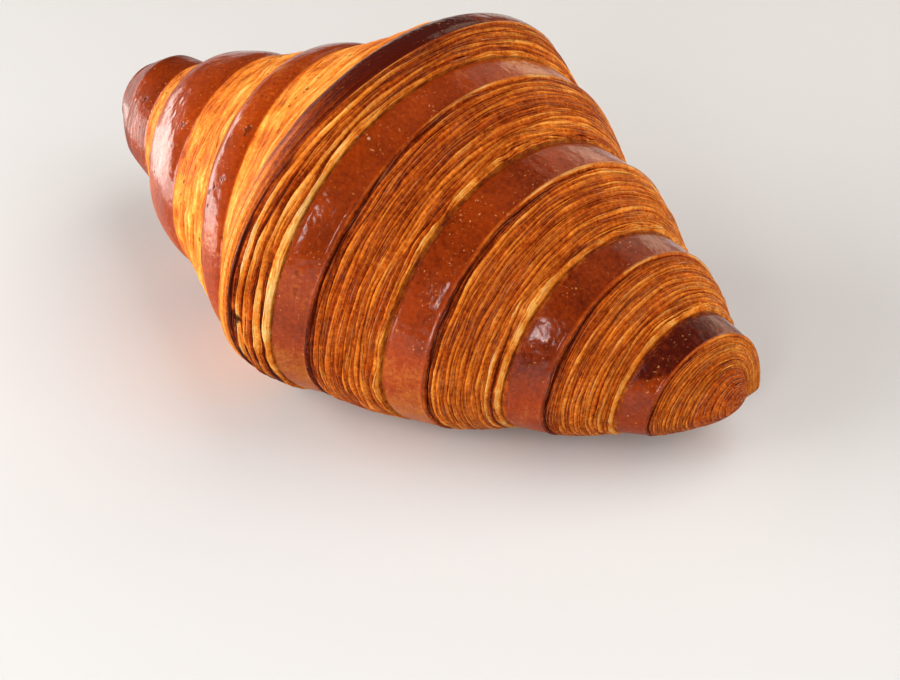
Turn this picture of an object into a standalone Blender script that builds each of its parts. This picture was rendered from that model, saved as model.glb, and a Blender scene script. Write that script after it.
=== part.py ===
"""Butter croissant: one solid of rolled, laminated dough that rests on its flat underside.

The long axis is X, the raised tip is at -X, Z is up and the underside is at Z = 0.
A croissant is a rolled triangle of dough, so its edges are spirals. On the +X half each turn
of the spiral has an edge line, where the smooth skin stops, and a foot line, where the cut
layers below the skin meet the next turn. The -X half has the same two lines, a ridge line and
a valley line, wound the other way. Lengths are in millimetres until the mesh is written.
"""
import math

import bmesh
import bpy
import numpy as np

MM = 0.001

# Spiral lines: turn number, distance along X and radius. Whole turns are on top of the roll.
EDGE_LINE = ((0.5, 3.0, 37.8), (0.8, 6.0, 43.0), (1.0, 17.5, 46.2), (1.3, 11.0, 39.5),
             (2.0, 25.0, 38.7), (3.0, 42.2, 30.0), (4.0, 58.0, 20.5), (5.0, 71.2, 11.5))
FOOT_LINE = ((0.5, 5.5, 36.2), (0.75, 13.5, 41.8), (1.0, 18.8, 40.8), (2.0, 34.4, 31.6),
             (3.0, 51.9, 22.5), (4.0, 66.2, 13.6), (5.0, 73.5, 6.0), (5.4, 74.8, 4.5))
RIDGE_LINE = ((0.5, -2.5, 37.8), (0.75, 0.5, 40.9), (1.0, 10.0, 45.3), (2.0, -20.0, 30.6),
              (3.0, -48.0, 19.5), (4.0, -64.5, 13.0), (4.4, -68.0, 11.5))
VALLEY_LINE = ((0.5, -6.0, 37.0), (0.75, -4.5, 36.0), (1.0, -12.0, 33.5), (2.0, -33.8, 24.0),
               (3.0, -56.0, 14.2), (4.0, -70.0, 9.5))
LEFT_END = ((3.0, -71.5, 8.6), (5.0, -71.5, 8.6))
TIP_RIGHT_X = 76.5
TIP_LEFT_X = -74.5

# Section: height of its centre in the middle and at each tip, and how far it reaches up and down
CENTRE_HEIGHT = 23.1
TIP_HEIGHT_RIGHT = 11.0
TIP_HEIGHT_LEFT = 22.3
RISE = 0.90
DROP = 0.71
TIP_RADIUS = 8.0
BODY_RADIUS = 40.0
BEND = 8.0
BEND_AT = 70.0
SETTLE = 3.0

# Relief: swell of each kind of band, the cut layers in it and the waviness of the whole crust
SKIN_SWELL = 0.35
CUT_SWELL = 0.9
HUMP_SWELL = 1.0
VALLEY_SWELL = -0.3
RIDGE_SWELL = 0.9
END_SWELL = 0.8
TIP_SWELL = 0.15
CUT_FLATNESS = 2.0
BAND_FLATNESS = 3.2
LAYERS = 6
LAYER_DEPTH = 0.4
FOLDS = 3
FOLD_DEPTH = 0.25
LIP = 0.7
WAVE = 0.35
LONG_WAVE = 9.0
SHORT_WAVE = 5.3
FULL_WIDTH = 9.0

# Flakes that stand up from the cut layers: turn, place across the band, angle in degrees,
# half the width across the band, half the length in degrees and height
FLAKES = ((2, 0.88, 84.0, 0.14, 24.0, 0.9), (3, 0.90, 40.0, 0.12, 22.0, 0.8),
          (1, 0.55, 30.0, 0.12, 30.0, 0.6), (4, 0.85, 60.0, 0.14, 22.0, 0.5))

# Mesh: columns round the section, and the hidden sector below, where each turn is closed
COLUMNS = 40
SECTOR_START = -70.0
SECTOR_CLOSE = 200.0

CRUST_COLOR = (0.36, 0.13, 0.03, 1.0)
CRUST_ROUGHNESS = 0.42


def smooth_line(knots, turn):
    """Return x and radius of a spiral line at the turns given, by cubic curves through its knots."""
    table = np.array(knots)
    at = table[:, 0]
    turn = np.clip(turn, at[0], at[-1] + 0.5)
    index = np.clip(np.searchsorted(at, turn) - 1, 0, len(at) - 2)
    span = at[index + 1] - at[index]
    u = np.clip((turn - at[index]) / span, 0.0, 1.0)
    found = []
    for value in (table[:, 1], table[:, 2]):
        steps = np.diff(at)
        slope = np.diff(value) / steps
        inner = (slope[:-1] * steps[1:] + slope[1:] * steps[:-1]) / (steps[1:] + steps[:-1])
        tangent = np.concatenate(([slope[0]], inner, [slope[-1]]))
        curve = ((2 * u**3 - 3 * u**2 + 1) * value[index] + (3 * u**2 - 2 * u**3) * value[index + 1]
                 + (u**3 - 2 * u**2 + u) * span * tangent[index]
                 + (u**3 - u**2) * span * tangent[index + 1])
        found.append(curve + np.maximum(turn - at[-1], 0.0) * slope[-1])
    return found[0], np.maximum(found[1], 0.5)


def ease(value):
    """Return a smooth step from 0 to 1."""
    value = np.clip(value, 0.0, 1.0)
    return value * value * (3.0 - 2.0 * value)


def band_list():
    """List the bands from the left tip to the right one: start, end, turn, kind, swell and rows."""
    bands = [((LEFT_END, 4), (RIDGE_LINE, 4), 4, "skin", TIP_SWELL, 4),
             ((RIDGE_LINE, 4), (VALLEY_LINE, 3), 4, "skin", TIP_SWELL, 5)]
    for turn in (3, 2):
        bands.append(((VALLEY_LINE, turn), (RIDGE_LINE, turn), turn, "valley", VALLEY_SWELL, 10))
        bands.append(((RIDGE_LINE, turn), (VALLEY_LINE, turn - 1), turn, "skin", HUMP_SWELL, 5))
    bands.append(((VALLEY_LINE, 1), (RIDGE_LINE, 1), 1, "valley", VALLEY_SWELL, 10))
    bands.append(((RIDGE_LINE, 1), (EDGE_LINE, 1), 1, "skin", RIDGE_SWELL, 5))
    for turn in (1, 2, 3, 4):
        bands.append(((EDGE_LINE, turn), (FOOT_LINE, turn), turn, "cut", CUT_SWELL, 2 * LAYERS))
        bands.append(((FOOT_LINE, turn), (EDGE_LINE, turn + 1), turn, "skin", SKIN_SWELL, 4))
    bands.append(((EDGE_LINE, 5), (FOOT_LINE, 5), 5, "cut", END_SWELL, 9))
    return bands


def turn_offset(angle):
    """Return how far along its spiral a ring has run at each angle, closed again underneath."""
    closing = ease((angle - SECTOR_CLOSE) / (360.0 + SECTOR_START - SECTOR_CLOSE))
    return (np.minimum(angle, SECTOR_CLOSE) - 90.0) / 360.0 \
        - closing * (SECTOR_CLOSE - SECTOR_START) / 360.0


def flakes(turn, share, degrees):
    """Return how high the flakes of one turn stand at one place across its cut layers."""
    height = 0.0
    for at_turn, place, angle, half_share, half_angle, rise in FLAKES:
        if at_turn == turn:
            across = ease(1.0 - abs(share - place) / half_share)
            height = height + rise * across * ease(1.0 - np.abs(degrees - angle) / half_angle)
    return height


def relief(kind, share, fade, swell, width):
    """Return the radial relief of one row of a band, whose share runs from 0 to 1 across it."""
    full = np.clip(width / FULL_WIDTH, 0.0, 1.0)
    flatness = CUT_FLATNESS if kind == "cut" else BAND_FLATNESS
    body = swell * full * (1.0 - abs(2.0 * share - 1.0) ** flatness)
    if kind == "cut":
        ridge = LAYER_DEPTH * (0.5 - 0.5 * math.cos(2.0 * math.pi * LAYERS * share))
        body = body + (ridge + LIP * share**6 * (1.0 - share**12)) * fade * full
    if kind == "valley":
        fold = FOLD_DEPTH * (0.5 - 0.5 * math.cos(2.0 * math.pi * FOLDS * share))
        body = body + fold * fade * full
    return body


def section_point(x, radius, angle):
    """Place one point of the section: a dome above, a shallower bowl below, flat on the ground."""
    width = np.clip((radius - TIP_RADIUS) / (BODY_RADIUS - TIP_RADIUS), 0.0, 1.1)
    tip = TIP_HEIGHT_LEFT + (TIP_HEIGHT_RIGHT - TIP_HEIGHT_LEFT) * ease((x + 30.0) / 60.0)
    centre = tip + (CENTRE_HEIGHT - tip) * width
    sine = np.sin(angle)
    z = centre + radius * np.where(sine > 0.0, RISE, DROP) * sine
    y = -radius * np.cos(angle) + BEND * (x / BEND_AT) ** 2
    settled = (np.clip(z, -SETTLE, SETTLE) + SETTLE) ** 2 / (4.0 * SETTLE)
    return np.stack([x, y, np.where(z > SETTLE, z, settled)], axis=-1)


def ring_rows():
    """Return the rings of points, from the left tip to the right one, tips left out."""
    degrees = SECTOR_START + 360.0 * np.arange(COLUMNS) / COLUMNS
    angle = np.radians(degrees)
    offset = turn_offset(degrees)
    fade = 1.0 - 0.8 * ease((degrees - SECTOR_CLOSE + 20.0) / 40.0)
    rings = []

    def add(start, end, share, turn, kind, swell):
        x0, r0 = smooth_line(start[0], start[1] + offset)
        x1, r1 = smooth_line(end[0], end[1] + offset)
        x = x0 + (x1 - x0) * share
        radius = r0 + (r1 - r0) * share
        wave = np.sin(x / LONG_WAVE + 2.0 * angle) + np.sin(x / SHORT_WAVE - 3.0 * angle + 1.0)
        width = np.hypot(x1 - x0, r1 - r0)
        radius = radius + relief(kind, share, fade, swell, width)
        if kind == "cut":
            radius = radius + flakes(turn, share, degrees)
        radius = radius + 0.5 * WAVE * wave * radius / BODY_RADIUS
        rings.append(section_point(x, radius, angle))

    x0, r0 = smooth_line(LEFT_END, 4.0 + offset)
    for share in (0.35, 0.62, 0.83, 0.95):
        x = TIP_LEFT_X + (x0 - TIP_LEFT_X) * (1.0 - math.sqrt(1.0 - share**2))
        rings.append(section_point(x, r0 * share, angle))
    for start, end, turn, kind, swell, rows in band_list():
        for row in range(rows):
            add(start, end, row / rows, turn, kind, swell)
    x1, r1 = smooth_line(FOOT_LINE, 5.0 + offset)
    for share in (1.0, 0.72, 0.4):
        x = TIP_RIGHT_X + (x1 - TIP_RIGHT_X) * share**2
        rings.append(section_point(x, r1 * share, angle))
    return rings


def crust_material():
    """Make the baked crust's material."""
    material = bpy.data.materials.new("crust")
    material.use_nodes = True
    shader = material.node_tree.nodes["Principled BSDF"]
    shader.inputs["Base Color"].default_value = CRUST_COLOR
    shader.inputs["Roughness"].default_value = CRUST_ROUGHNESS
    return material


def croissant_mesh():
    """Move a ball's vertices ring by ring onto the croissant, and centre it over the origin."""
    rings = np.array(ring_rows())
    count = len(rings)
    low_tip = np.append(rings[0].mean(axis=0)[1:], 0.0)
    ends = {0: np.array([TIP_LEFT_X, low_tip[0], low_tip[1]])}
    high_tip = rings[-1].mean(axis=0)
    ends[count + 1] = np.array([TIP_RIGHT_X, high_tip[1], high_tip[2]])
    low = rings.min(axis=(0, 1))
    high = rings.max(axis=(0, 1))
    low[0] = min(low[0], TIP_LEFT_X)
    high[0] = max(high[0], TIP_RIGHT_X)
    centre = np.array([(low[0] + high[0]) / 2.0, (low[1] + high[1]) / 2.0, low[2]])

    ball = bmesh.new()
    bmesh.ops.create_uvsphere(ball, u_segments=COLUMNS, v_segments=count + 1, radius=1.0)
    for vertex in ball.verts:
        polar = math.acos(max(-1.0, min(1.0, -vertex.co.z)))
        row = round(polar / math.pi * (count + 1))
        if row in ends:
            place = ends[row]
        else:
            column = round(math.atan2(vertex.co.y, vertex.co.x) / (2.0 * math.pi) * COLUMNS) % COLUMNS
            place = rings[row - 1][column]
        vertex.co = [float(value) for value in (place - centre) * MM]
    bmesh.ops.recalc_face_normals(ball, faces=ball.faces)
    for face in ball.faces:
        face.smooth = True
    mesh = bpy.data.meshes.new("croissant")
    ball.to_mesh(mesh)
    ball.free()
    return mesh


def main():
    """Clear the start-up objects and make the croissant."""
    for item in list(bpy.data.objects):
        bpy.data.objects.remove(item, do_unlink=True)
    group = bpy.data.collections.new("butter_croissant")
    bpy.context.scene.collection.children.link(group)
    mesh = croissant_mesh()
    mesh.materials.append(crust_material())
    group.objects.link(bpy.data.objects.new("croissant", mesh))


main()
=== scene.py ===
import math

import bpy
import numpy as np
from mathutils import Matrix


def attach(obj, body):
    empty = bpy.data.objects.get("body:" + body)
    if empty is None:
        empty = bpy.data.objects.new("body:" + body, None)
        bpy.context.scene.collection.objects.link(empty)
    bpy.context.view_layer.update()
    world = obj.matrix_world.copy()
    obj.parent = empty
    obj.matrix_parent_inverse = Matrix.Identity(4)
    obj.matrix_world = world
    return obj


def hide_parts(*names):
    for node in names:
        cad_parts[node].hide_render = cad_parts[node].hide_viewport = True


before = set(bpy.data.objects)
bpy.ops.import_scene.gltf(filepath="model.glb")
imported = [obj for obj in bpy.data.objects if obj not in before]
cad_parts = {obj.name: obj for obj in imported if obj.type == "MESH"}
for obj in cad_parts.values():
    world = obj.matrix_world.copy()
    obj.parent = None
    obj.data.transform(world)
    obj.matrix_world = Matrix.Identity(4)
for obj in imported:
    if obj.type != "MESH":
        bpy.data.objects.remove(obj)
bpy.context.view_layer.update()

MM = 0.001

# Spiral lines: turn number, distance along X and radius, in millimetres, as the solid has them
EDGE_LINE = ((0.5, 3.0, 37.8), (0.8, 6.0, 43.0), (1.0, 17.5, 46.2), (1.3, 11.0, 39.5),
             (2.0, 25.0, 38.7), (3.0, 42.2, 30.0), (4.0, 58.0, 20.5), (5.0, 71.2, 11.5))
FOOT_LINE = ((0.5, 5.5, 36.2), (0.75, 13.5, 41.8), (1.0, 18.8, 40.8), (2.0, 34.4, 31.6),
             (3.0, 51.9, 22.5), (4.0, 66.2, 13.6), (5.0, 73.5, 6.0), (5.4, 74.8, 4.5))
RIDGE_LINE = ((0.5, -2.5, 37.8), (0.75, 0.5, 40.9), (1.0, 10.0, 45.3), (2.0, -20.0, 30.6),
              (3.0, -48.0, 19.5), (4.0, -64.5, 13.0), (4.4, -68.0, 11.5))
VALLEY_LINE = ((0.5, -6.0, 37.0), (0.75, -4.5, 36.0), (1.0, -12.0, 33.5), (2.0, -33.8, 24.0),
               (3.0, -56.0, 14.2), (4.0, -70.0, 9.5))
LEFT_END = ((3.0, -71.5, 8.6), (5.0, -71.5, 8.6))
PAST_END = 0.5
LEAST_RADIUS = 0.5
TIP_RIGHT_X = 76.5
TIP_LEFT_X = -74.5
LEFT_TIP_TURN = 4
RIGHT_TIP_TURN = 5
CENTRE = (1.0, 0.95, 0.0)

# Section of the body, in millimetres and degrees
CENTRE_HEIGHT = 23.1
TIP_HEIGHT_RIGHT = 11.0
TIP_HEIGHT_LEFT = 22.3
TIP_CHANGE_FROM = -30.0
TIP_CHANGE_OVER = 60.0
RISE = 0.90
DROP = 0.71
TIP_RADIUS = 8.0
BODY_RADIUS = 40.0
WIDEST = 1.1
BEND = 8.0
BEND_AT = 70.0
SETTLE = 3.0
TOP_ANGLE = 90.0
SECTOR_START = -70.0
SECTOR_CLOSE = 200.0
WAVE = 0.35
LONG_WAVE = 9.0
SHORT_WAVE = 5.3

# Zones round the body: the angle where each starts and how many degrees it takes to fill in
FRONT_ZONE = (80.0, -60.0)
LOW_ZONE = (30.0, -50.0)
BACK_ZONE = (76.0, 45.0)
HIDDEN_ZONE = (SECTOR_CLOSE - 20.0, 40.0)
HIDDEN_FADE = 0.8

# How far each kind of band swells, how flat its middle is, and its rows of points
SKIN_SWELL = 0.35
CUT_SWELL = 0.9
HUMP_SWELL = 1.0
VALLEY_SWELL = -0.3
RIDGE_SWELL = 0.9
END_SWELL = 0.8
TIP_SWELL = 0.15
CUT_FLATNESS = 2.0
BAND_FLATNESS = 3.2
FULL_WIDTH = 9.0
TIP_ROWS = 16
VALLEY_ROWS = 40
LAST_VALLEY_ROWS = 42
HUMP_ROWS = 22
RIDGE_ROWS = 24
CUT_ROWS = 120
SKIN_ROWS = 15
END_ROWS = 100
LEFT_CAP_ROWS = 18
RIGHT_CAP_ROWS = 16
COLUMNS = 232
DETAIL = 1.0

# Cut bands by turn, 1 to 5: number of layers, how far their edges wander, how much light and
# dark layers alternate, how dark they are baked and how pale their foot is
CUT_COUNT = (0, 9, 18, 19, 19, 15)
CUT_WANDER = (0.0, 0.55, 0.55, 0.45, 0.45, 0.45)
CUT_SWING = (0.0, 0.7, 0.2, 0.2, 0.2, 0.2)
CUT_TONE = (0.0, 0.0, 0.1, 0.8, 0.4, 0.8)
CUT_FOOT = (0.0, 0.95, 0.95, 0.62, 0.62, 0.0)
CUT_DEPTH = 0.34
CUT_DEPTH_FRONT = (0.0, 0.50, 0.26, 0.26, 0.26, 0.26)
LAYERS_PER_TURN = 40.0

# Single layers: their widths and depths against each other, the length in millimetres of the
# waves in their edges, height and tone, where across a layer its crest is, and the least width
# and span, as shares of a mean layer
LAYER_WIDTHS = (0.6, 1.5)
LAYER_DEPTHS = (0.5, 1.0)
EDGE_WAVE = 55.0
HEIGHT_WAVE = 18.0
TONE_WAVE = 27.0
CREST_AT = 0.35
LEAST_WIDTH = 0.1
LEAST_SPAN = 0.02

# Places across a cut band: the middle of each feature and half its width, as shares of the band
ROLL = (0.0, 0.03)
ROLL_GROOVE = (0.05, 0.03)
DARK_START = (0.05, 0.16)
# Along the rim a pale line is painted as a highlight, with painted shade in a line just below it
RIM = (0.012, 0.012)
RIM_SHADE = (0.045, 0.03)
END_RIM = (0.035, 0.035)
END_RIM_ANGLE = (88.0, 34.0)
DARK_GAP = (0.70, 0.22)
STRAND = (0.82, 0.035)
SPLIT_AT = 0.87
SPLIT_SHIFT = 0.05
SPLIT_HALF = 0.02
GAP = (0.885, 0.03)
# Painted highlight: a thin pale line near the foot, on the back of the body
HIGHLIGHT_LINE = (0.90, 0.018)
FOOT_AT = 0.965
FOOT_STEP = 0.03
FOOT_RAGGED = 0.03
FOOT_CREEP = (0.0, 0.035, 0.035, 0.06, 0.035, 0.035)
LIP = (FOOT_AT, 0.04)
SEAM = 0.03

# Heights across a cut band, in millimetres
LIP_HEIGHT = 0.7
END_LIP = 0.2
ROLL_HEIGHT = 0.55
GROOVE_DEPTH = 0.45

# How pale parts of a cut band are, and how much lighter or darker they are made
SPLIT_PALE = 0.40
SPLIT_PALE_FRONT = 0.45
STRAND_PALE = 0.9
FOOT_PALE_FRONT = 0.5
LOW_PALE = 0.16
FLAKE_PALE = 0.55
OPEN_PALE = 0.62
MEAN_HEIGHT = 0.45
# Painted highlight along the rims, and painted shade just below them
RIM_HIGHLIGHT = 2.4
END_RIM_HIGHLIGHT = 0.5
RIM_PAINTED_SHADE = 0.6
# Painted light: cut bands are made lighter on the back, where the light falls
BACK_PAINTED_LIGHT = 1.1
START_DARKER = 2.2
START_DARKER_BACK = 0.3
OPEN_CONTRAST = 2.7
OPEN_LIGHTER = 0.6
OPEN_LOW_DARKER = 2.7
END_LOW_DARKER = 0.6

# Brown bands and smooth skin bands by turn: how dark they are baked, and how much lighter
# the skin is low on the front
HUMP_TONE = (-3.6, -0.2, -0.3, -0.5, -1.3)
SKIN_TONE = (0.0, -0.6, -1.1, -1.4, -2.3)
SKIN_LOW = (0.0, 1.1, 1.8, 1.5, 1.9)
HUMP_LOW = 0.6
# Painted light: the skin is made lighter on the back
SKIN_BACK_PAINTED_LIGHT = 0.9

# The ridge between the halves: its layers on the front
RIDGE_LAYERS = 5
RIDGE_WANDER = 0.5
RIDGE_DEPTH = 0.4
RIDGE_PALE = 0.7
RIDGE_CONTRAST = 3.0
# Painted highlight: the ridge's skin is made lighter on the back
RIDGE_BACK_PAINTED_LIGHT = 2.6

# Yellow bands: layers, and folds of dough with finer ones on them, in millimetres
VALLEY_LAYERS = 9
VALLEY_WANDER = 0.8
WANDER_LOST_BACK = 0.55
VALLEY_CREST = 0.6
VALLEY_CONTRAST = 0.5
VALLEY_DEPTH = 0.22
VALLEY_PALE = 0.94
VALLEY_START = (0.0, 0.22)
# Painted shade: a yellow band is darker where it starts, beside the brown band before it
VALLEY_START_PAINTED_SHADE = 0.35
FOLD_LENGTH = 5.0
FOLD_WIDTH = 2.2
FOLD_DEPTH = 0.55
FOLD_FINER = 2.1
FOLDS_LOST_BACK = 0.45
FOLD_START = 0.25

# Smooth skin bands: the crease where one starts, the swell where it ends, and its golden line
CREASE_HALF = 0.12
CREASE_DEPTH = (0.0, 0.5, 0.5, 0.25, 0.25)
END_SWOLLEN = (1.0, 0.08)
END_SWOLLEN_HEIGHT = 0.35
GOLDEN_HALF = (0.0, 0.10, 0.10, 0.24, 0.24)
GOLDEN_PALE = 1.1
GOLDEN_UNWASHED = 0.8
LAST_SKIN_LOW = 34.0
LAST_SKIN_LOW_WAVE = 6.0
LAST_SKIN_LOW_OVER = 12.0

# Egg wash, which makes the crust glossy, and how many pores each kind of band has
WASH = 0.8
WASH_LOST_LOW = 0.75
TIP_WASH = 0.35
CAP_WASH = 0.2
PORES = {"hump": 0.8, "valley": 0.8, "skin": 0.35, "cut": 0.3}

# Flakes that stand up from the cut layers: turn, place across the band, angle in degrees,
# half the width across the band, half the length in degrees and height
FLAKES = ((2, 0.88, 84.0, 0.14, 24.0, 0.9), (3, 0.90, 40.0, 0.12, 22.0, 0.8),
          (1, 0.55, 30.0, 0.12, 30.0, 0.6), (4, 0.85, 60.0, 0.14, 22.0, 0.5))

# Marks in the crust: place in millimetres, radius, roughness of the edge and how dark; one below 0 is a
# small raised blister, painted pale pink as a highlight
MARKS = (((-10.8, -30.2, 40.8), 1.1, 0.9, 0.8), ((-12.0, -31.0, 38.8), 0.6, 0.9, 0.7),
         ((-13.2, -31.2, 37.5), 0.7, 0.9, 0.7), ((-12.4, -32.6, 35.6), 0.5, 0.8, 0.7),
         ((-13.6, -32.6, 34.6), 0.4, 0.8, 0.7), ((-58.4, -6.4, 32.4), 1.1, 0.9, 0.75),
         ((-11.0, -22.8, 47.4), 1.1, 1.3, 0.7), ((-34.8, -17.4, 38.4), 1.0, 1.3, 0.7),
         ((5.9, -44.4, 25.6), 1.5, 1.1, 0.95), ((16.0, -23.1, 55.0), 0.4, 0.3, -0.4),
         ((17.6, -22.1, 54.8), 0.4, 0.3, -0.4))
MARK_DEPTH = 0.7
MARK_ROUGHNESS = 2.0

# What the mesh stores at each point for the material, in this order
LABELS = ("skin", "pale", "tone", "crest", "layer", "along", "gloss", "pores")

# The crust is made as three pieces, which end at these band numbers
PIECES = (("crust_left", 0, 10), ("crust_middle", 10, 14), ("crust_right", 14, 19))

# Irregular waves and lumps
SEED = 100
WAVE_STEP = 1.9
WAVE_FADE = 1.6
WARP_LENGTH = 2.63
WARP = 1.7
HASH_STEPS = (73856093, 19349663, 83492791)
HASH_SEED = 7919
HASH_SPREAD = 1274126177

# Colours, as linear red, green and blue
BLACK = (0.0, 0.0, 0.0)
WHITE = (1.0, 1.0, 1.0)
# The palest stop is pale dough, and is also reached by the painted highlight along the rims
BAKED_RAMP = ((0.04, (0.09, 0.008, 0.001)), (0.24, (0.33, 0.042, 0.003)),
              (0.42, (0.58, 0.116, 0.009)), (0.62, (0.86, 0.255, 0.026)),
              (0.86, (0.98, 0.49, 0.11)), (1.0, (0.98, 0.57, 0.22)))
WASH_RAMP = ((0.12, (0.055, 0.004, 0.001)), (0.50, (0.30, 0.036, 0.002)),
             (0.74, (0.50, 0.150, 0.013)))
SPECK_COLOR = (0.80, 0.36, 0.12, 1.0)
# Painted highlight colour for the layer crests that catch the light
PAINTED_GLINT_COLOR = (0.88, 0.40, 0.21, 1.0)
PORE_COLOR = (0.10, 0.014, 0.002, 1.0)
BURNT_COLOR = (0.06, 0.010, 0.002, 1.0)
# Pale pink painted on two small raised blisters, as their highlight
BLISTER_HIGHLIGHT_COLOR = (0.95, 0.55, 0.30, 1.0)

# How much each part adds to how pale the baked colour is; relief and crest are painted light on the
# raised layers, groove is painted shade between them
BASE_SHADE = 0.22
SHADE_SHARES = {"tone": 0.10, "pale": 0.32, "relief": 0.40, "crest": 0.17, "groove": -0.34}
STREAK_SHARE = 0.45
STREAK_CALMED = 0.55
GRAIN_SHARE = 0.75
PATCH_SHARE = 0.25
WASH_TONE_SHARE = 0.16

# Fine lines in each layer: lines a layer, seed, strength of the crest and of the groove
LINES = ((1.3, 0.0, 0.75, 0.8), (2.9, 7.3, 0.6, 0.4))
CREST_RAMP = ((0.04, BLACK), (0.16, WHITE), (0.34, BLACK))
GROOVE_RAMP = ((0.0, WHITE), (0.06, BLACK), (0.80, BLACK), (1.0, WHITE))
BROKEN_RAMP = ((0.42, BLACK), (0.60, WHITE))
SPECK_RAMP = ((0.66, BLACK), (0.78, WHITE))
SPECK_PATCH_RAMP = ((0.45, BLACK), (0.62, WHITE))
GLINT_PATCH_RAMP = ((0.40, (0.2, 0.2, 0.2)), (0.58, WHITE))
PORE_PATCH_RAMP = ((0.46, (0.2, 0.2, 0.2)), (0.62, WHITE))
MARK_RAMP = ((0.55, WHITE), (0.9, BLACK))

# Noises over the crust: how many a metre, how many octaves and how rough
GRAIN = (1300.0, 4.0, 0.7)
PATCH = (110.0, 3.0, 0.5)
SPECK = (1900.0, 1.0, 0.5)
SPECK_PATCH = (170.0, 2.0)
GLINT_PATCH = (140.0, 2.0)
MARK_EDGE = (900.0, 3.0, 0.6)
UNEVEN = (330.0, 2.0, 0.5)
PORE_SCALE = 800.0
PORE_FEWER = 0.50
PORE_SIZE = 0.8

# Surface of the crust
ROUGHNESS = 0.42
WASHED_SMOOTHER = 0.04
COAT_ROUGHNESS = 0.12
SPECULAR_LEVEL = 0.02
BUMP_STRENGTH = 0.9
BUMP_DEPTH = 0.00035

# Camera, at the photograph's angle: degrees, and distances in millimetres
AZIMUTH = math.radians(40.0)
ELEVATION = math.radians(34.2)
DISTANCE = 327.1
AIM_HEIGHT = 30.0
AIM_ACROSS = 14.1
AIM_DOWN = 28.7
LENS = 70.0
SENSOR = 36.0
NEAREST = 0.01

# Studio: floor and surrounding light
FLOOR_HALF = 3.0
FLOOR_HEIGHT = -0.0003
FLOOR_COLOR = (0.66, 0.655, 0.65, 1.0)
FLOOR_ROUGHNESS = 0.7
AIR_COLOR = (1.0, 0.98, 0.96, 1.0)
AIR_STRENGTH = 0.04

# Soft lights: name, azimuth, elevation, distance and size in metres, radiance, whether
# the gloss reflects it, and colour
DAYLIGHT = (1.0, 0.98, 0.95)
WINDOW = (1.0, 0.93, 0.87)
LEFT_LIGHTS = (("key", -44.0, 23.0, 0.75, (0.72, 0.48), 6.0, False, DAYLIGHT),
               ("low", -14.0, 12.0, 0.7, (0.60, 0.30), 4.2, False, DAYLIGHT),
               ("window_0", -50.0, 1.5, 0.6, (0.40, 0.11), 6.5, True, WINDOW),
               ("window_1", -88.0, 1.5, 0.6, (0.40, 0.11), 6.5, True, WINDOW))
OTHER_LIGHTS = (("back_low", 164.0, 14.0, 0.9, (1.3, 0.32), 1.9, True, (1.0, 0.77, 0.58)),
                ("back_high", 172.0, 36.0, 0.9, (1.5, 0.45), 0.7, True, (1.0, 0.78, 0.60)),
                ("top", 150.0, 65.0, 0.9, (0.9, 0.7), 2.0, False, WHITE),
                ("side", 84.0, 34.0, 0.8, (0.8, 0.6), 2.2, False, WHITE),
                ("front", 24.0, 25.0, 0.7, (0.12, 0.18), 15.0, True, WHITE))
LIGHT_AIM = (0.0, 0.0, 0.03)
SHEEN_PLACE = (-0.37, -0.28, 0.003)
SHEEN_SIZE = (0.5, 0.6)
SHEEN_RADIANCE = 4.5


def smooth_line(knots, turn):
    """Return x and radius of a spiral line at the turns given, by cubic curves through its knots."""
    table = np.array(knots)
    at = table[:, 0]
    turn = np.clip(turn, at[0], at[-1] + PAST_END)
    index = np.clip(np.searchsorted(at, turn) - 1, 0, len(at) - 2)
    span = at[index + 1] - at[index]
    u = np.clip((turn - at[index]) / span, 0.0, 1.0)
    steps = np.diff(at)
    found = []
    for value in (table[:, 1], table[:, 2]):
        slope = np.diff(value) / steps
        inner = (slope[:-1] * steps[1:] + slope[1:] * steps[:-1]) / (steps[1:] + steps[:-1])
        tangent = np.concatenate(([slope[0]], inner, [slope[-1]]))
        curve = ((2 * u**3 - 3 * u**2 + 1) * value[index] + (3 * u**2 - 2 * u**3) * value[index + 1]
                 + (u**3 - 2 * u**2 + u) * span * tangent[index]
                 + (u**3 - u**2) * span * tangent[index + 1])
        found.append(curve + np.maximum(turn - at[-1], 0.0) * slope[-1])
    return found[0], np.maximum(found[1], LEAST_RADIUS)


def ease(value):
    """Return a smooth step from 0 to 1."""
    value = np.clip(value, 0.0, 1.0)
    return value * value * (3.0 - 2.0 * value)


def bell(value, centre, half):
    """Return a smooth bump of 1 at the centre that fades to 0 at half its width each way."""
    return ease(1.0 - np.abs(value - centre) / half)


def ripple(place, longest, seed, octaves=4):
    """Return an irregular smooth wave between about -1 and 1 along one coordinate."""
    random = np.random.default_rng(seed)
    total = 0.0
    for octave in range(octaves):
        length = longest / WAVE_STEP**octave
        phase, drift = random.uniform(0.0, 2.0 * math.pi, 2)
        warp = WARP * np.sin(2.0 * math.pi * place / (WARP_LENGTH * length) + drift)
        total = total + np.sin(2.0 * math.pi * place / length + phase + warp) / WAVE_FADE**octave
    return total / WAVE_STEP


def lumps(points, size, seed):
    """Return smooth 3-D noise between 0 and 1, with lumps of the size given."""
    scaled = points / size
    cell = np.floor(scaled).astype(np.int64)
    part = scaled - cell
    part = part * part * (3.0 - 2.0 * part)
    total = 0.0
    for corner in range(8):
        step = np.array([corner & 1, (corner >> 1) & 1, (corner >> 2) & 1])
        key = ((cell + step) * np.array(HASH_STEPS)).sum(axis=-1) + seed * HASH_SEED
        key = (key ^ (key >> 13)) * HASH_SPREAD
        value = ((key ^ (key >> 16)) & 0xFFFF) / 65535.0
        weight = np.where(step == 1, part, 1.0 - part).prod(axis=-1)
        total = total + value * weight
    return total


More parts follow.
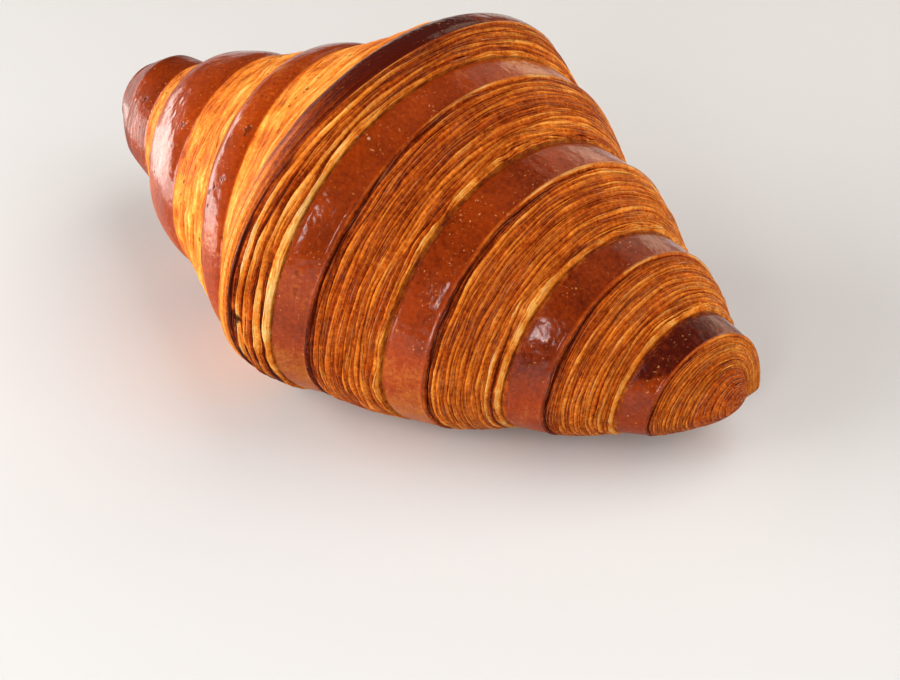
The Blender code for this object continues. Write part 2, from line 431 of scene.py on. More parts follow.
def turn_offset(angle):
    """Return how far along its spiral a ring has run at each angle, closed again underneath."""
    closing = ease((angle - SECTOR_CLOSE) / (360.0 + SECTOR_START - SECTOR_CLOSE))
    return (np.minimum(angle, SECTOR_CLOSE) - TOP_ANGLE) / 360.0 \
        - closing * (SECTOR_CLOSE - SECTOR_START) / 360.0


def section_point(x, radius, angle):
    """Place points of the section: a dome above, a shallower bowl below, flat on the ground."""
    width = np.clip((radius - TIP_RADIUS) / (BODY_RADIUS - TIP_RADIUS), 0.0, WIDEST)
    change = ease((x - TIP_CHANGE_FROM) / TIP_CHANGE_OVER)
    tip = TIP_HEIGHT_LEFT + (TIP_HEIGHT_RIGHT - TIP_HEIGHT_LEFT) * change
    centre = tip + (CENTRE_HEIGHT - tip) * width
    sine = np.sin(angle)
    z = centre + radius * np.where(sine > 0.0, RISE, DROP) * sine
    y = -radius * np.cos(angle) + BEND * (x / BEND_AT) ** 2
    settled = (np.clip(z, -SETTLE, SETTLE) + SETTLE) ** 2 / (4.0 * SETTLE)
    return np.stack([x, y, np.where(z > SETTLE, z, settled)], axis=-1)


def band_list():
    """List the bands from the left tip to the right: start, end, kind, turn, swell and rows."""
    bands = []
    for turn in (LEFT_TIP_TURN, 3, 2):
        at_tip = turn == LEFT_TIP_TURN
        start = LEFT_END if at_tip else VALLEY_LINE
        bands.append(((start, turn), (RIDGE_LINE, turn), "hump" if at_tip else "valley", -turn,
                      TIP_SWELL if at_tip else VALLEY_SWELL, TIP_ROWS if at_tip else VALLEY_ROWS))
        bands.append(((RIDGE_LINE, turn), (VALLEY_LINE, turn - 1), "hump", -turn,
                      TIP_SWELL if at_tip else HUMP_SWELL, HUMP_ROWS))
    bands.append(((VALLEY_LINE, 1), (RIDGE_LINE, 1), "valley", -1, VALLEY_SWELL, LAST_VALLEY_ROWS))
    bands.append(((RIDGE_LINE, 1), (EDGE_LINE, 1), "ridge", 0, RIDGE_SWELL, RIDGE_ROWS))
    for turn in range(1, RIGHT_TIP_TURN):
        bands.append(((EDGE_LINE, turn), (FOOT_LINE, turn), "cut", turn, CUT_SWELL, CUT_ROWS))
        bands.append(((FOOT_LINE, turn), (EDGE_LINE, turn + 1), "skin", turn, SKIN_SWELL, SKIN_ROWS))
    bands.append(((EDGE_LINE, RIGHT_TIP_TURN), (FOOT_LINE, RIGHT_TIP_TURN), "cut", RIGHT_TIP_TURN,
                  END_SWELL, END_ROWS))
    return bands


def run_length(turn):
    """Return the distance run along the spiral up to a turn, in millimetres."""
    table = np.linspace(0.0, 6.0, 241)
    radius = smooth_line(EDGE_LINE, table)[1]
    run = np.concatenate(([0.0], np.cumsum(2.0 * math.pi * radius[1:] * np.diff(table))))
    return np.interp(turn, table, run)


def layers(share, along, count, seed, wander, swing=0.0):
    """Return the height, tone and running number of the cut layers across a band.

    A layer whose two edges run into each other pinches out, as rolled dough does.
    """
    random = np.random.default_rng(seed)
    width = random.uniform(*LAYER_WIDTHS, count)
    place = np.concatenate(([0.0], np.cumsum(width))) / width.sum()
    tones = random.uniform(-1.0, 1.0, count)
    tones = (1.0 - swing) * tones + swing * np.where(np.arange(count) % 2 == 0, 1.0, -1.0)
    depths = random.uniform(*LAYER_DEPTHS, count)
    edges = [np.zeros_like(along)]
    for index in range(1, count):
        edge = place[index] + wander * ripple(along, EDGE_WAVE, seed + 31 * index, 3) / count
        edges.append(np.clip(edge, edges[-1] + LEAST_WIDTH / count, 1.0))
    edges.append(np.ones_like(along))
    height = np.zeros(np.broadcast(share, along).shape)
    tone = np.zeros_like(height)
    number = np.zeros_like(height)
    for index in range(count):
        inside = (share >= edges[index]) & (share <= edges[index + 1])
        span = np.maximum(edges[index + 1] - edges[index], LEAST_SPAN / count)
        within = (share - edges[index]) / span
        crest = ease(np.minimum(within / CREST_AT, (1.0 - within) / (1.0 - CREST_AT)))
        strength = depths[index] * (0.75 + 0.35 * ripple(along, HEIGHT_WAVE, seed + 57 * index))
        crest = crest * np.minimum(1.0, span * count) * strength
        height = np.where(inside, crest, height)
        uneven = 0.5 * ripple(along, TONE_WAVE, seed + 91 * index)
        tone = np.where(inside, tones[index] + uneven, tone)
        number = np.where(inside, index + within, number)
    return height, tone, number


def flakes(turn, share, degrees):
    """Return how high the flakes of one turn stand across its cut layers."""
    height = 0.0
    for at_turn, place, angle, half_share, half_angle, rise in FLAKES:
        if at_turn == turn:
            ragged = half_share * (1.0 + 0.25 * ripple(degrees, 9.0, 7 * turn))
            across = bell(share, place, ragged)
            height = height + rise * across * bell(degrees, angle, half_angle)
    return height


class Rings:
    """The columns of the crust's grid: their angles round the body and the zones they cross."""

    def __init__(self):
        degrees = SECTOR_START + 360.0 * np.arange(COLUMNS) / COLUMNS
        self.offset = turn_offset(degrees)
        self.degrees = degrees[None, :]
        self.angle = np.radians(self.degrees)
        self.front = self.zone(FRONT_ZONE)
        self.low = self.zone(LOW_ZONE)
        self.back = self.zone(BACK_ZONE)
        self.fade = 1.0 - HIDDEN_FADE * self.zone(HIDDEN_ZONE)

    def zone(self, limits):
        """Return 1 inside a zone round the body and 0 outside it."""
        start, span = limits
        return ease((self.degrees - start) / span)

    def keep(self, kind, x, radius, along, skin=0.0, pale=0.0, tone=0.0, crest=0.0, layer=0.0,
             washed=1.0):
        """Return the points of a band, and what the material needs at each."""
        shape = np.broadcast(x, radius).shape
        wave = np.sin(x / LONG_WAVE + 2.0 * self.angle) + np.sin(x / SHORT_WAVE - 3.0 * self.angle + 1.0)
        radius = radius + 0.5 * WAVE * wave * radius / BODY_RADIUS
        points = section_point(x, radius, np.broadcast_to(self.angle, shape))
        gloss = WASH * (1.0 - WASH_LOST_LOW * self.low) * skin * washed
        values = [np.broadcast_to(value, shape)
                  for value in (skin, pale, tone, crest, layer, along, gloss, PORES[kind])]
        return points, np.stack(values, axis=-1)


class Band:
    """One band of the crust: the smooth surface between two spiral lines."""

    def __init__(self, rings, start, end, kind, turn, swell, rows):
        self.turn = turn
        self.seed = SEED + turn
        rows = max(4, round(rows * DETAIL))
        self.share = (np.arange(rows) / rows)[:, None]
        x0, r0 = smooth_line(start[0], start[1] + rings.offset)
        x1, r1 = smooth_line(end[0], end[1] + rings.offset)
        self.width = np.hypot(x1 - x0, r1 - r0)[None, :]
        full = np.clip(self.width / FULL_WIDTH, 0.0, 1.0)
        self.relief = rings.fade * full
        self.along = run_length(abs(turn) + rings.offset)[None, :]
        self.x = x0[None, :] + (x1 - x0)[None, :] * self.share
        flatness = CUT_FLATNESS if kind == "cut" else BAND_FLATNESS
        body = 1.0 - np.abs(2.0 * self.share - 1.0) ** flatness
        self.radius = r0[None, :] + (r1 - r0)[None, :] * self.share + swell * full * body

    def wave(self, longest, seed):
        """Return an irregular wave along the band, with a seed of its own."""
        return ripple(self.along, longest, self.seed + seed)


def cut_radius(band, rings, height, stand):
    """Return the radius of a cut band: layers, flakes, a rolled start and a lip at its foot."""
    turn, share = band.turn, band.share
    lip = bell(share, *LIP) * (0.7 + 0.4 * band.wave(17.0, 5))
    if turn == RIGHT_TIP_TURN:
        lip = END_LIP * lip
    rolled = ROLL_HEIGHT * bell(share, *ROLL) - GROOVE_DEPTH * bell(share, *ROLL_GROOVE)
    depth = CUT_DEPTH + CUT_DEPTH_FRONT[turn] * rings.front
    return band.radius + (depth * height + LIP_HEIGHT * lip + rolled) * band.relief + stand


def cut_pale(band, rings, height, stand):
    """Return how pale a cut band is: its foot, a split above it, open edges, flakes, a painted highlight
    along the rim and near the foot, and painted shade just below the rim.
    """
    turn, share, front = band.turn, band.share, rings.front
    ragged = FOOT_RAGGED * band.wave(9.0, 9) - FOOT_CREEP[turn] * front
    foot = ease((share - FOOT_AT - ragged) / FOOT_STEP) * (0.8 + 0.5 * band.wave(15.0, 12))
    split = bell(share, SPLIT_AT - SPLIT_SHIFT * front, SPLIT_HALF) * (0.2 + 0.6 * band.wave(25.0, 13))
    if turn == 3:
        strand = bell(share, *STRAND) * front * (0.8 + 0.5 * band.wave(12.0, 14))
        split = split + STRAND_PALE * strand - bell(share, *GAP) * front
        foot = foot * (1.0 + FOOT_PALE_FRONT * front)
    # Painted highlight: a thin pale line near the foot
    edge = bell(share, *HIGHLIGHT_LINE) * (1.0 - front) * ease(0.5 + band.wave(30.0, 10))
    pale = CUT_FOOT[turn] * foot + split * (SPLIT_PALE + SPLIT_PALE_FRONT * front) + edge
    crumbs = 0.8 + 0.9 * ripple(band.along + 30.0 * share, 4.0, band.seed + 15)
    pale = pale + LOW_PALE * rings.low + FLAKE_PALE * np.clip(stand, 0.0, 1.0) * crumbs
    if turn == 1:
        # Painted light and shade by height: on the open turn the raised layers are paler and the low ones
        # darker
        lift = OPEN_PALE + (height - MEAN_HEIGHT)
        pale = pale + lift * front * (1.0 - bell(share, *DARK_GAP))
    # Painted highlight: a pale line along the rim; painted shade: a darker line just below it
    rim = bell(share, *RIM) * (1.0 - front) * ease(0.5 + band.wave(30.0, 8))
    if turn == RIGHT_TIP_TURN:
        rim = rim + END_RIM_HIGHLIGHT * bell(share, *END_RIM) * bell(rings.degrees, *END_RIM_ANGLE)
    return pale + RIM_HIGHLIGHT * rim - RIM_PAINTED_SHADE * bell(share, *RIM_SHADE)


def cut_band(band, rings):
    """Make a band of cut layers."""
    turn, share, front, low = band.turn, band.share, rings.front, rings.low
    height, tone, number = layers(share, band.along, CUT_COUNT[turn], band.seed, CUT_WANDER[turn],
                                  CUT_SWING[turn])
    stand = flakes(turn, share, rings.degrees)
    # Painted light makes the cut layers lighter on the back
    tone = tone + CUT_TONE[turn] + BACK_PAINTED_LIGHT * rings.back
    darker = START_DARKER_BACK + (1.0 - START_DARKER_BACK) * front
    tone = tone - START_DARKER * bell(share, *DARK_START) * darker
    if turn == 1:
        tone = tone * (1.0 + OPEN_CONTRAST * front) + OPEN_LIGHTER * front - OPEN_LOW_DARKER * low
    if turn == RIGHT_TIP_TURN:
        tone = tone - END_LOW_DARKER * low
    return rings.keep("cut", band.x, cut_radius(band, rings, height, stand), band.along,
                      skin=ease(1.0 - share / SEAM), pale=cut_pale(band, rings, height, stand),
                      tone=tone, crest=height, layer=number + LAYERS_PER_TURN * turn)


def valley_band(band, rings):
    """Make a yellow band: pale, folded dough between two brown bands."""
    turn, share = band.turn, band.share
    height, tone, number = layers(share, band.along, VALLEY_LAYERS, band.seed,
                                  VALLEY_WANDER - WANDER_LOST_BACK * rings.back)
    height = VALLEY_CREST * height
    spots = np.stack(np.broadcast_arrays(band.along / FOLD_LENGTH, share * band.width / FOLD_WIDTH,
                                         3.0 * turn), axis=-1)
    folds = lumps(spots, 1.0, band.seed) - 0.5
    folds = folds + 0.5 * (lumps(FOLD_FINER * spots, 1.0, band.seed + 1) - 0.5)
    folds = folds * (1.0 - FOLDS_LOST_BACK * rings.back)
    relief = (VALLEY_DEPTH * height + FOLD_DEPTH * folds) * band.relief * ease(share / FOLD_START)
    skin = ease(1.0 - share / SEAM) + ease((share - 1.0 + SEAM) / SEAM)
    return rings.keep("valley", band.x, band.radius + relief, band.along, skin=skin,
                      # Painted shade darkens the start of the band
                      pale=VALLEY_PALE + folds - VALLEY_START_PAINTED_SHADE * bell(share, *VALLEY_START),
                      tone=VALLEY_CONTRAST * tone, crest=height, layer=number - LAYERS_PER_TURN * turn)


def ridge_band(band, rings):
    """Make the ridge: smooth brown skin on the back, which opens into layers on the front."""
    front = rings.front
    # Painted highlight makes the ridge's skin lighter on the back
    dark = HUMP_TONE[0] + HUMP_LOW * rings.low + RIDGE_BACK_PAINTED_LIGHT * rings.back
    height, tone, number = layers(band.share, band.along, RIDGE_LAYERS, band.seed, RIDGE_WANDER)
    radius = band.radius + RIDGE_DEPTH * height * front * band.relief
    return rings.keep("cut", band.x, radius, band.along, skin=1.0 - front, pale=RIDGE_PALE * front,
                      tone=dark * (1.0 - front) + RIDGE_CONTRAST * tone * front,
                      crest=height, layer=number + 0.5 * LAYERS_PER_TURN)


def hump_band(band, rings):
    """Make a smooth brown band of the left half."""
    washed = 0.25 + 0.75 * ease(band.share / 0.45)
    if band.turn == -LEFT_TIP_TURN:
        washed = TIP_WASH * washed
    return rings.keep("hump", band.x, band.radius, band.along, skin=1.0,
                      tone=HUMP_TONE[-band.turn] + HUMP_LOW * rings.low, layer=5.0 * band.share,
                      washed=washed)


def skin_band(band, rings):
    """Make a smooth band between two cut bands, with a golden line where it starts."""
    turn, share = band.turn, band.share
    crease = END_SWOLLEN_HEIGHT * bell(share, *END_SWOLLEN) \
        - CREASE_DEPTH[turn] * bell(share, 0.0, CREASE_HALF)
    below = rings.low
    if turn == RIGHT_TIP_TURN - 1:
        start = LAST_SKIN_LOW + LAST_SKIN_LOW_WAVE * ripple(share, 1.2, 77)
        below = ease((start - rings.degrees) / LAST_SKIN_LOW_OVER)
    mottle = np.clip(0.75 + 0.7 * ripple(band.along + 15.0 * share, 7.0, band.seed + 16), 0.0, 1.0)
    golden = bell(share, 0.0, GOLDEN_HALF[turn]) * mottle
    return rings.keep("skin", band.x, band.radius + crease * band.relief, band.along,
                      skin=1.0 - GOLDEN_UNWASHED * golden, pale=GOLDEN_PALE * golden,
                      # Painted light makes the skin lighter on the back
                      tone=SKIN_TONE[turn] + SKIN_LOW[turn] * below + SKIN_BACK_PAINTED_LIGHT * rings.back,
                      layer=5.0 * share)


def left_cap(rings):
    """Make the rounded end of the left tip."""
    x0, r0 = smooth_line(LEFT_END, LEFT_TIP_TURN + rings.offset)
    rows = max(6, round(LEFT_CAP_ROWS * DETAIL))
    share = np.sin(np.linspace(0.0, math.pi / 2.0, rows + 1)[1:-1])[:, None]
    x = TIP_LEFT_X + (x0[None, :] - TIP_LEFT_X) * (1.0 - np.sqrt(1.0 - share**2))
    return rings.keep("hump", x, r0[None, :] * share, 10.0 * rings.angle, skin=1.0,
                      tone=HUMP_TONE[LEFT_TIP_TURN], layer=3.0 * share, washed=CAP_WASH)


def right_cap(rings):
    """Make the rolled end of the right tip."""
    x1, r1 = smooth_line(FOOT_LINE, RIGHT_TIP_TURN + rings.offset)
    rows = max(4, round(RIGHT_CAP_ROWS * DETAIL))
    share = np.linspace(1.0, 0.0, rows + 1)[:-1][:, None]
    x = TIP_RIGHT_X + (x1[None, :] - TIP_RIGHT_X) * share**2
    number = LAYERS_PER_TURN * RIGHT_TIP_TURN + CUT_COUNT[RIGHT_TIP_TURN] - 2.0 + 6.0 * (1.0 - share)
    return rings.keep("cut", x, r1[None, :] * share, run_length(RIGHT_TIP_TURN + rings.offset)[None, :],
                      tone=0.1, crest=0.25, layer=number)


def crust_grid():
    """Return the crust band by band: rows of points, and what the material needs at each."""
    makers = {"cut": cut_band, "valley": valley_band, "ridge": ridge_band, "hump": hump_band,
              "skin": skin_band}
    rings = Rings()
    parts = [left_cap(rings)]
    for start, end, kind, turn, swell, rows in band_list():
        parts.append(makers[kind](Band(rings, start, end, kind, turn, swell, rows), rings))
    parts.append(right_cap(rings))
    return parts


def mark_sharp_ends(mesh, name, rows, columns):
    """Mark the first and last rings sharp where a piece meets the next one."""
    pairs = np.zeros(2 * len(mesh.edges), dtype=np.int32)
    mesh.edges.foreach_get("vertices", pairs)
    row = pairs.reshape(-1, 2) // columns
    sharp = np.zeros(len(mesh.edges), dtype=bool)
    if name != PIECES[0][0]:
        sharp |= (row == 0).all(axis=1)
    if name != PIECES[-1][0]:
        sharp |= (row == rows - 1).all(axis=1)
    mesh.edges.foreach_set("use_edge_sharp", sharp)


def grid_mesh(name, rings, values):
    """Make a closed mesh from rings of points, with one point in the middle of each end."""
    rows, columns = rings.shape[:2]
    tips = [rings[0].mean(axis=0), rings[-1].mean(axis=0)]
    if name == PIECES[0][0]:
        tips[0][0] = TIP_LEFT_X
    if name == PIECES[-1][0]:
        tips[1][0] = TIP_RIGHT_X
    places = np.concatenate([rings.reshape(-1, 3), np.array(tips)])
    places = (places - np.array(CENTRE)) * MM
    left = rows * columns
    right = left + 1
    index = np.arange(rows * columns).reshape(rows, columns)
    after = np.roll(index, -1, axis=1)
    quads = np.stack([index[:-1], index[1:], after[1:], after[:-1]], axis=-1).reshape(-1, 4)
    faces = quads.tolist()
    faces += [(left, int(a), int(b)) for a, b in zip(index[0], after[0])]
    faces += [(int(b), int(a), right) for a, b in zip(index[-1], after[-1])]
    mesh = bpy.data.meshes.new(name)
    mesh.from_pydata(places.tolist(), [], faces)
    mesh.polygons.foreach_set("use_smooth", np.ones(len(mesh.polygons), dtype=bool))
    mark_sharp_ends(mesh, name, rows, columns)
    ends = np.stack([values[0].mean(axis=0), values[-1].mean(axis=0)])
    table = np.concatenate([values.reshape(-1, values.shape[-1]), ends])
    for number, label in enumerate(LABELS):
        attribute = mesh.attributes.new(label, "FLOAT", "POINT")
        attribute.data.foreach_set("value", table[:, number].astype(np.float32))
    mesh.update()
    return mesh


class Graph:
    """A short way to write a node tree."""

    def __init__(self, name):
        self.material = bpy.data.materials.new(name)
        self.material.use_nodes = True
        self.tree = self.material.node_tree
        self.shader = self.tree.nodes["Principled BSDF"]

    def put(self, socket, value):
        """Link a socket to another node's output, or set its value."""
        if isinstance(value, bpy.types.NodeSocket):
            self.tree.links.new(value, socket)
        else:
            socket.default_value = value

    def node(self, kind, output=0, settings=None, **inputs):
        """Add a node, set what is named and return one of its outputs."""
        node = self.tree.nodes.new(kind)
        for key, value in (settings or {}).items():
            setattr(node, key, value)
        for key, value in inputs.items():
            socket = node.inputs[int(key[1:])] if key[1:].isdigit() else node.inputs[key]
            self.put(socket, value)
        return node.outputs[output]

    def attribute(self, name):
        """Read a value that is stored in the mesh."""
        return self.node("ShaderNodeAttribute", "Fac", {"attribute_name": name})

    def sum(self, kind, a, b=0.0, clamp=False):
        """Do one sum on two values, or on the first where the sum takes one."""
        return self.node("ShaderNodeMath", 0, {"operation": kind, "use_clamp": clamp}, i0=a, i1=b)

    def vector(self, x, y, z):
        """Join three values into a vector."""
        return self.node("ShaderNodeCombineXYZ", 0, {}, X=x, Y=y, Z=z)

    def about_half(self, value, share):
        """Return how far a value is from a half, times a share."""
        return self.sum("MULTIPLY", self.sum("SUBTRACT", value, 0.5), share)

    def ramp(self, value, stops, mode="LINEAR"):
        """Colour a value by a ramp."""
        node = self.tree.nodes.new("ShaderNodeValToRGB")
        node.color_ramp.interpolation = mode
        while len(node.color_ramp.elements) < len(stops):
            node.color_ramp.elements.new(0.5)
        for element, (place, color) in zip(node.color_ramp.elements, stops):
            element.position = place
            element.color = (*color, 1.0)
        self.put(node.inputs[0], value)
        return node.outputs[0]

    def mix(self, share, a, b):
        """Mix two colours."""
        node = self.tree.nodes.new("ShaderNodeMix")
        node.data_type = "RGBA"
        self.put(node.inputs[0], share)
        self.put(node.inputs[6], a)
        self.put(node.inputs[7], b)
        return node.outputs[2]

    def noise(self, vector, scale, detail=3.0, rough=0.55):
        """Return noise from 0 to 1."""
        return self.node("ShaderNodeTexNoise", 0, {}, Vector=vector, Scale=scale, Detail=detail,
                         Roughness=rough)

    def mark(self, place, centre, radius, rough, wobble):
        """Return 1 inside a ragged round mark and 0 outside it."""
        far = self.node("ShaderNodeVectorMath", "Value", {"operation": "DISTANCE"}, i0=place,
                        i1=tuple(value * MM for value in centre))
        far = self.sum("DIVIDE", far, radius * MM)
        far = self.sum("ADD", far, self.sum("MULTIPLY", wobble, rough))
        return self.ramp(far, MARK_RAMP)


def layer_lines(graph, fine, along):
    """Return the thin crests and grooves in the cut layers, broken up along their length."""
    crests = []
    grooves = []
    for times, seed, crest_share, groove_share in LINES:
        run = graph.sum("ADD", graph.sum("MULTIPLY", fine, times), seed)
        across = graph.sum("FRACT", run)
        whole = graph.sum("FLOOR", run)
        spot = graph.vector(graph.sum("MULTIPLY", whole, 3.7), graph.sum("MULTIPLY", along, 0.16), seed)
        gain = graph.ramp(graph.noise(spot, 1.0), BROKEN_RAMP)
        crest = graph.sum("MULTIPLY", graph.ramp(across, CREST_RAMP, "EASE"), gain)
        groove = graph.sum("MULTIPLY", graph.ramp(across, GROOVE_RAMP, "EASE"), gain)
        crests.append(graph.sum("MULTIPLY", crest, crest_share))
        grooves.append(graph.sum("MULTIPLY", groove, groove_share))
    return graph.sum("ADD", *crests), graph.sum("ADD", *grooves)


def baked_color(graph, parts, streak, grain, patch):
    """Return the colour of cut dough, from dark brown to pale yellow by how it is baked, with painted
    light on raised layers and painted shade in the grooves between them.
    """
    calm = graph.sum("SUBTRACT", 1.0, graph.sum("MULTIPLY", parts["pale"], STREAK_CALMED, True))
    shade = graph.sum("MULTIPLY", graph.sum("SUBTRACT", streak, 0.5),
                      graph.sum("MULTIPLY", calm, STREAK_SHARE))
    shade = graph.sum("ADD", shade, BASE_SHADE)
    for name, share in SHADE_SHARES.items():
        shade = graph.sum("ADD", shade, graph.sum("MULTIPLY", parts[name], share))
    shade = graph.sum("ADD", shade, graph.about_half(grain, GRAIN_SHARE))
    shade = graph.sum("ADD", shade, graph.about_half(patch, PATCH_SHARE))
    return graph.ramp(shade, BAKED_RAMP)


def wash_color(graph, place, tone, grain, patch):
    """Return the colour of egg-washed skin, with small pale specks here and there."""
    depth = graph.sum("ADD", graph.sum("MULTIPLY", patch, 0.5), graph.sum("MULTIPLY", grain, 0.5))
    depth = graph.sum("ADD", depth, graph.sum("MULTIPLY", tone, WASH_TONE_SHARE))
    specks = graph.ramp(graph.noise(place, *SPECK), SPECK_RAMP)
    where = graph.ramp(graph.noise(place, *SPECK_PATCH), SPECK_PATCH_RAMP)
    specks = graph.sum("MULTIPLY", specks, where)
    return graph.mix(graph.sum("MULTIPLY", specks, 0.6), graph.ramp(depth, WASH_RAMP), SPECK_COLOR)


def glints(graph, place, crest, pale):
    """Return where the crests of the layers catch the light."""
    here = graph.ramp(graph.noise(place, *GLINT_PATCH), GLINT_PATCH_RAMP)
    fresh = graph.sum("SUBTRACT", 1.0, pale, True)
    return graph.sum("MULTIPLY", graph.sum("MULTIPLY", crest, fresh), here)


def pores(graph, place, patch):
    """Return small dark pores of uneven size."""
    cells = graph.tree.nodes.new("ShaderNodeTexVoronoi")
    graph.put(cells.inputs["Vector"], place)
    cells.inputs["Scale"].default_value = PORE_SCALE
    pick = graph.node("ShaderNodeSeparateColor", 0, {}, Color=cells.outputs["Color"])
    size = graph.sum("MULTIPLY", graph.sum("SUBTRACT", pick, PORE_FEWER, True), PORE_SIZE)
    size = graph.sum("MULTIPLY", size, graph.ramp(patch, PORE_PATCH_RAMP))
    pore = graph.sum("GREATER_THAN", size, cells.outputs["Distance"])
    return graph.sum("MULTIPLY", pore, graph.attribute("pores"))


def pits_and_marks(graph, place, patch, color):
    """Add the pores and the marks: return the colour, how deep they are and how dull."""
    pore = pores(graph, place, patch)
    color = graph.mix(graph.sum("MULTIPLY", pore, 0.95), color, PORE_COLOR)
    wobble = graph.sum("SUBTRACT", graph.noise(place, *MARK_EDGE), 0.5)
    dents = graph.sum("MULTIPLY", pore, -0.8)
    dull = pore
    for centre, radius, rough, dark in MARKS:
        mark = graph.mark(place, centre, radius, MARK_ROUGHNESS * rough, wobble)
        # Dark marks are burnt spots; the pale ones are raised blisters painted pale pink as a highlight
        tint = BURNT_COLOR if dark > 0.0 else BLISTER_HIGHLIGHT_COLOR
        color = graph.mix(graph.sum("MULTIPLY", mark, abs(dark)), color, tint)
        dents = graph.sum("ADD", dents, graph.sum("MULTIPLY", mark, -MARK_DEPTH * dark))
        dull = graph.sum("ADD", dull, mark, True)
    return color, dents, dull


def crust_relief(graph, place, cut, crest, groove, grain, dents):
    """Return the bump of the crust: layer lines and grain on cut dough, dimples everywhere."""
    height = graph.sum("MULTIPLY", graph.sum("SUBTRACT", crest, graph.sum("MULTIPLY", groove, 0.9)), cut)
    pitted = graph.sum("ADD", graph.sum("MULTIPLY", cut, 0.9), 0.12)
    height = graph.sum("ADD", height, graph.sum("MULTIPLY", grain, pitted))
    height = graph.sum("ADD", height, graph.sum("MULTIPLY", graph.noise(place, *UNEVEN), 0.9))
    height = graph.sum("ADD", height, dents)
    return graph.node("ShaderNodeBump", 0, {}, Strength=BUMP_STRENGTH, Distance=BUMP_DEPTH, Height=height)


def crust_material():
    """Make the crust: glossy washed skin, browned cut layers and pale, less baked layers."""
    graph = Graph("crust")
    skin = graph.attribute("skin")
    pale = graph.attribute("pale")
    tone = graph.attribute("tone")
    layer = graph.attribute("layer")
    along = graph.attribute("along")
    place = graph.node("ShaderNodeTexCoord", "Object")
    cut = graph.sum("SUBTRACT", 1.0, skin)

    strip = graph.vector(graph.sum("MULTIPLY", layer, 0.8), graph.sum("MULTIPLY", along, 0.06), 0.0)
    fine = graph.sum("ADD", layer, graph.about_half(graph.noise(strip, 1.0), 0.8))
    crest, groove = layer_lines(graph, fine, along)
    long_strip = graph.vector(graph.sum("MULTIPLY", fine, 0.7), graph.sum("MULTIPLY", along, 0.05), 3.0)
    streak = graph.noise(long_strip, 1.0, 4.0, 0.6)
    grain = graph.noise(place, *GRAIN)
    patch = graph.noise(place, *PATCH)

    # relief and crest make raised layers paler and groove makes the grooves darker: painted light and
    # shade
    parts = {"tone": tone, "pale": pale, "relief": graph.attribute("crest"), "crest": crest,
             "groove": groove}
    baked = baked_color(graph, parts, streak, grain, patch)
    glint = glints(graph, place, crest, pale)
    # Painted highlight: the crests that catch the light are tinted pale pink as well as made glossier
    baked = graph.mix(graph.sum("MULTIPLY", glint, 0.42, True), baked, PAINTED_GLINT_COLOR)
    color = graph.mix(skin, baked, wash_color(graph, place, tone, grain, patch))
    color, dents, dull = pits_and_marks(graph, place, patch, color)
    rough = graph.sum("SUBTRACT", ROUGHNESS, graph.sum("MULTIPLY", skin, WASHED_SMOOTHER))
    coat = graph.sum("ADD", graph.attribute("gloss"), glint, True)
    coat = graph.sum("MULTIPLY", coat, graph.sum("SUBTRACT", 1.0, graph.sum("MULTIPLY", dull, 0.85)))
    bump = crust_relief(graph, place, cut, crest, groove, grain, dents)

    surface = graph.shader.inputs
    graph.put(surface["Base Color"], color)
    graph.put(surface["Roughness"], rough)
    graph.put(surface["Coat Weight"], coat)
    surface["Coat Roughness"].default_value = COAT_ROUGHNESS
    surface["Specular IOR Level"].default_value = SPECULAR_LEVEL
    graph.put(surface["Normal"], bump)
    graph.put(surface["Coat Normal"], bump)
    return graph.material


def add_object(name, data):
    """Add an object to the scene."""
    item = bpy.data.objects.new(name, data)
    bpy.context.scene.collection.objects.link(item)
    return item


def crust():
    """Make the crust's pieces and put them in place of the plain solid."""
    parts = crust_grid()
    material = crust_material()
    for name, first, last in PIECES:
        chosen = parts[first:last]
        if last < len(parts):
            chosen = chosen + [(parts[last][0][:1], parts[last][1][:1])]
        mesh = grid_mesh(name, np.concatenate([part[0] for part in chosen]),
                         np.concatenate([part[1] for part in chosen]))
        mesh.materials.append(material)
        piece = add_object(name, mesh)
        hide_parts("croissant")
        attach(piece, "root")


def directions(azimuth, elevation):
    """Return the right, up and back directions of a view from an azimuth and elevation."""
    right = np.array([math.cos(azimuth), math.sin(azimuth), 0.0])
    back = np.array([math.sin(azimuth) * math.cos(elevation), -math.cos(azimuth) * math.cos(elevation),
                     math.sin(elevation)])
    return right, np.cross(back, right), back


def place_object(item, location, right, up, back):
    """Put a camera or a light in place, looking along minus its back direction."""
    matrix = np.eye(4)
    matrix[:3, 0], matrix[:3, 1], matrix[:3, 2] = right, up, back
    matrix[:3, 3] = location
    item.matrix_world = Matrix(matrix.tolist())


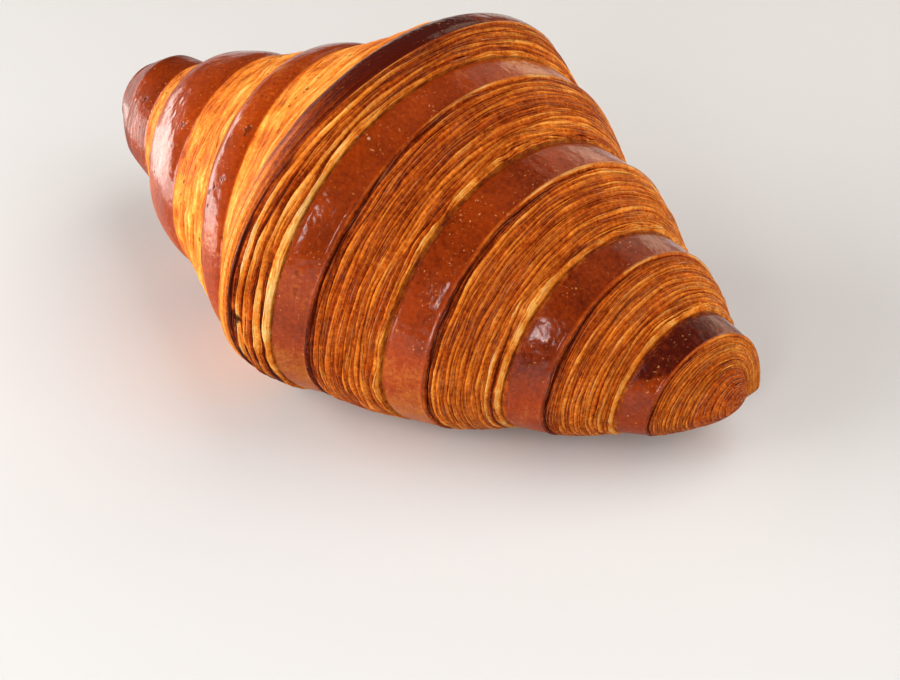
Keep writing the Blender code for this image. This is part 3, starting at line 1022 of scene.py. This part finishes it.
def camera():
    """Make the camera at the photograph's angle."""
    data = bpy.data.cameras.new("camera")
    data.lens = LENS
    data.sensor_width = SENSOR
    data.clip_start = NEAREST
    item = add_object("camera", data)
    right, up, back = directions(AZIMUTH, ELEVATION)
    aim = np.array([0.0, 0.0, AIM_HEIGHT]) + right * AIM_ACROSS - up * AIM_DOWN - np.array(CENTRE)
    place_object(item, (aim + back * DISTANCE) * MM, right, up, back)
    bpy.context.scene.camera = item


def panel(name, size, radiance, color):
    """Add a rectangular lamp, hidden from the camera, with a given radiance."""
    data = bpy.data.lights.new(name, "AREA")
    data.shape = "RECTANGLE"
    data.size, data.size_y = size
    data.energy = radiance * math.pi * size[0] * size[1]
    data.color = color
    item = add_object(name, data)
    item.visible_camera = False
    return item


def soft_light(name, azimuth, elevation, distance, size, radiance, shine, color):
    """Add a soft light that faces the croissant from a direction."""
    item = panel(name, size, radiance, color)
    item.visible_glossy = shine
    right, up, back = directions(math.radians(azimuth), math.radians(elevation))
    place_object(item, back * distance + np.array(LIGHT_AIM), right, up, back)


def low_sheen():
    """Make a bright patch low at the left, seen in reflections only: the ground's own light."""
    item = panel("sheen", SHEEN_SIZE, SHEEN_RADIANCE, WINDOW)
    item.visible_diffuse = False
    item.location = SHEEN_PLACE
    item.rotation_euler = (math.pi, 0.0, 0.0)


def studio():
    """Add the pale floor, the lights and the surrounding light."""
    mesh = bpy.data.meshes.new("floor")
    half = FLOOR_HALF
    corners = [(-half, -half), (half, -half), (half, half), (-half, half)]
    mesh.from_pydata([(x, y, FLOOR_HEIGHT) for x, y in corners], [], [(0, 1, 2, 3)])
    floor = add_object("floor", mesh)
    graph = Graph("floor")
    graph.shader.inputs["Base Color"].default_value = FLOOR_COLOR
    graph.shader.inputs["Roughness"].default_value = FLOOR_ROUGHNESS
    mesh.materials.append(graph.material)
    world = bpy.data.worlds.new("studio")
    world.use_nodes = True
    background = world.node_tree.nodes["Background"]
    background.inputs["Color"].default_value = AIR_COLOR
    background.inputs["Strength"].default_value = AIR_STRENGTH
    bpy.context.scene.world = world
    for light in LEFT_LIGHTS:
        soft_light(*light)
    low_sheen()
    for light in OTHER_LIGHTS:
        soft_light(*light)
    bpy.context.scene.view_settings.view_transform = "Standard"


crust()
camera()
studio()
